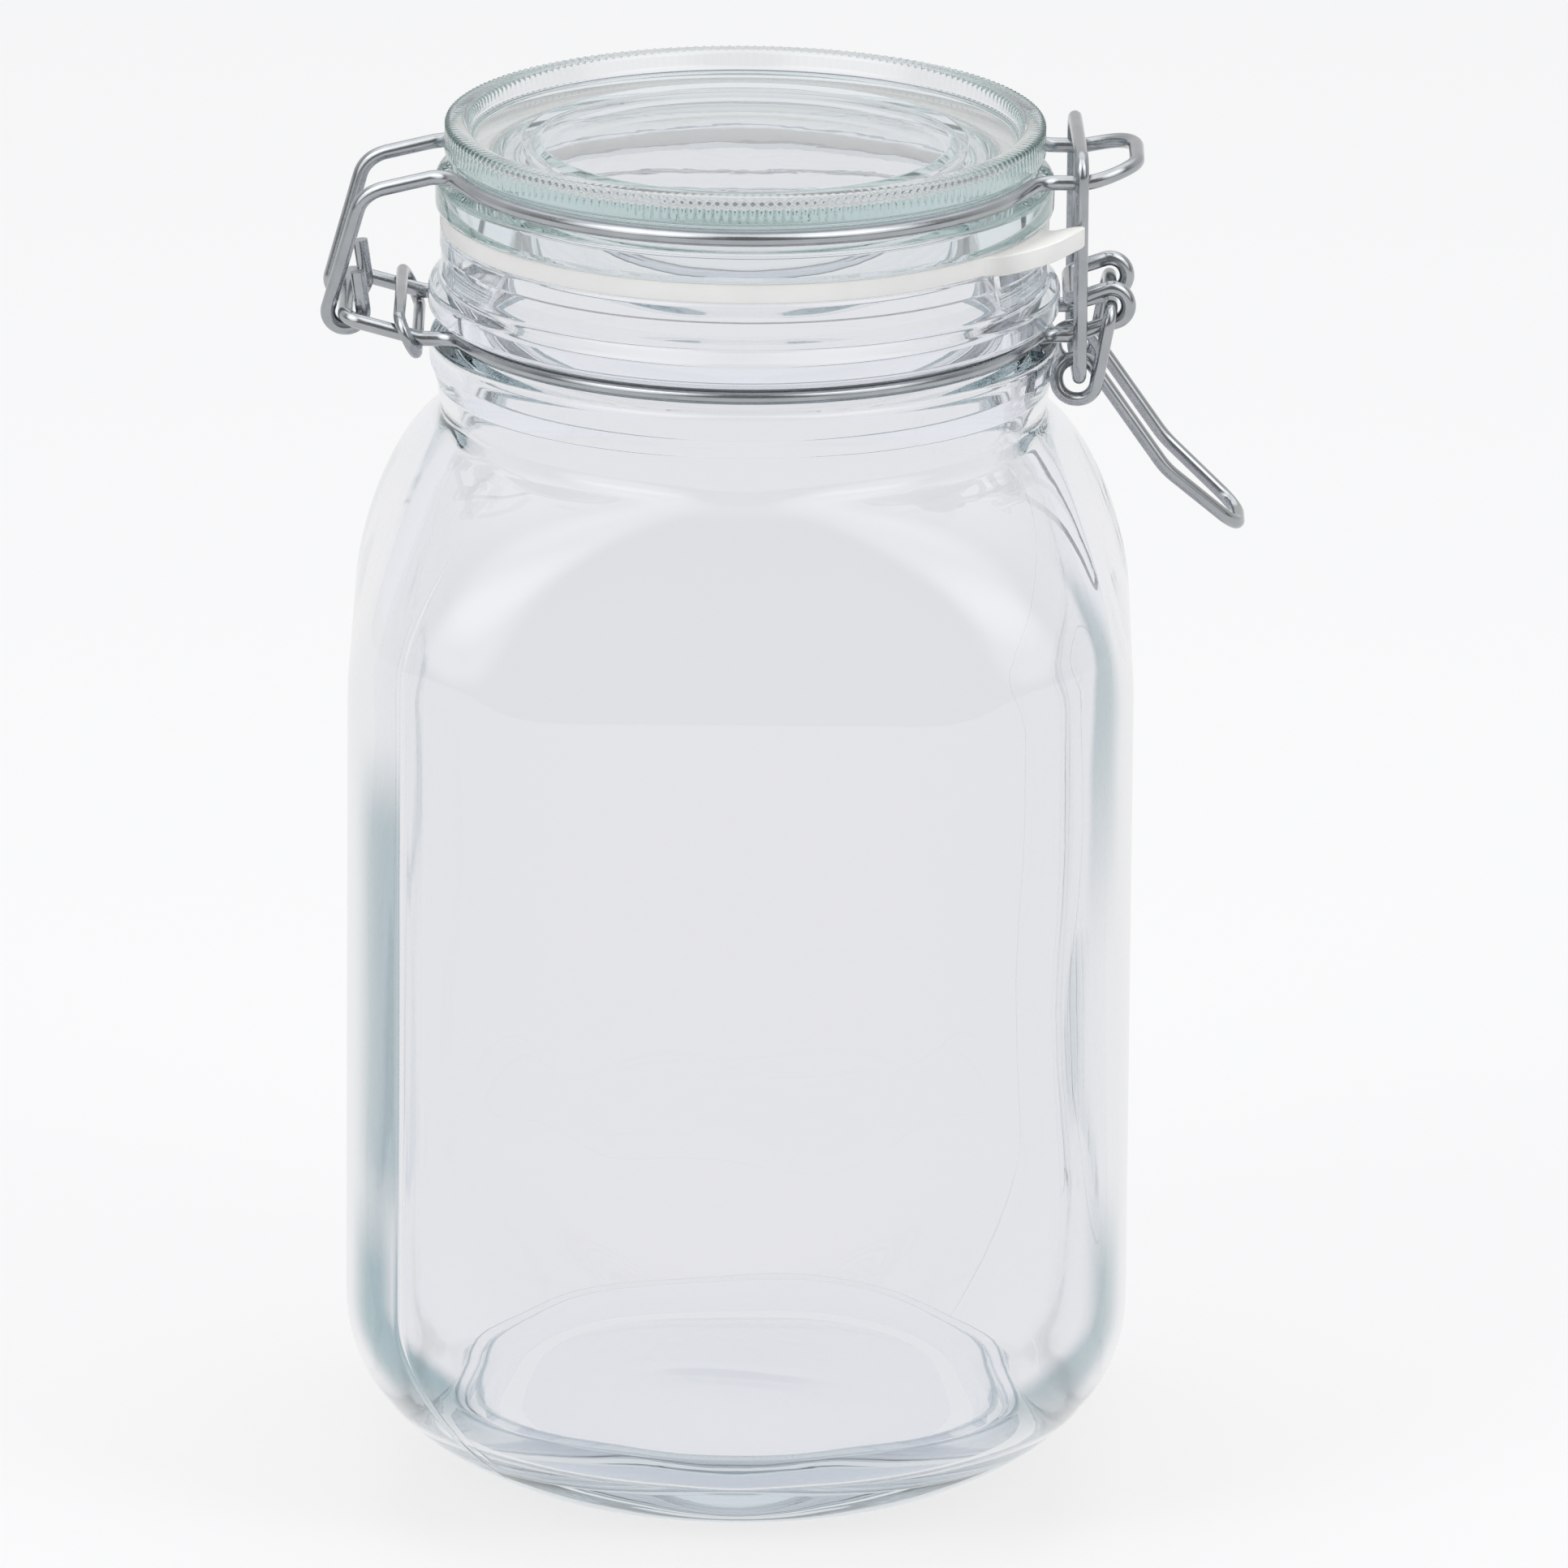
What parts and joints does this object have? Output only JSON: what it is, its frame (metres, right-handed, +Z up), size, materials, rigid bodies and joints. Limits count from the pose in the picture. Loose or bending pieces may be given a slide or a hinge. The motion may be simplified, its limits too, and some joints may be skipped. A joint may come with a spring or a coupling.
{
  "type": "wire-bail storage jar",
  "caption": "Square-bodied clear glass canister with a hinged glass lid, rubber seal and over-centre wire latch.",
  "frame": {"origin": "centre of the foot ring, on the surface that the jar stands on", "axes": "+Z up, +X towards the latch, -X towards the hinge, Y across the front face"},
  "size_m": [0.1538, 0.13, 0.231],
  "materials": {
    "clear_glass": "fire-polished",
    "white_rubber": "matte",
    "steel_wire": "bright drawn"
  },
  "bodies": {
    "jar": {"jar_body": "clear_glass", "neck_wire": "steel_wire", "tension_ring": "steel_wire"},
    "lid": {"glass_lid": "clear_glass", "lid_wire": "steel_wire", "rubber_seal": "white_rubber"},
    "lever": {"latch_lever": "steel_wire"},
    "bail": {"latch_bail": "steel_wire"}
  },
  "joints": [
    {"name": "lid_hinge", "type": "hinge", "parent": "jar", "child": "lid", "pos_m": [-0.066, 0, 0.2006], "axis": [0, -1, 0], "range_deg": [0, 200]},
    {"name": "lever_pivot", "type": "hinge", "parent": "jar", "child": "lever", "pos_m": [0.0608, 0, 0.2024], "axis": [0, -1, 0], "range_deg": [0, 120]},
    {"name": "bail_pivot", "type": "hinge", "parent": "lever", "child": "bail", "pos_m": [0.0552, 0, 0.19095], "axis": [0, -1, 0], "range_deg": [-120, 0]}
  ],
  "couplings": [
    {"joint": "bail_pivot", "follows": "lever_pivot", "ratio": -1}
  ]
}
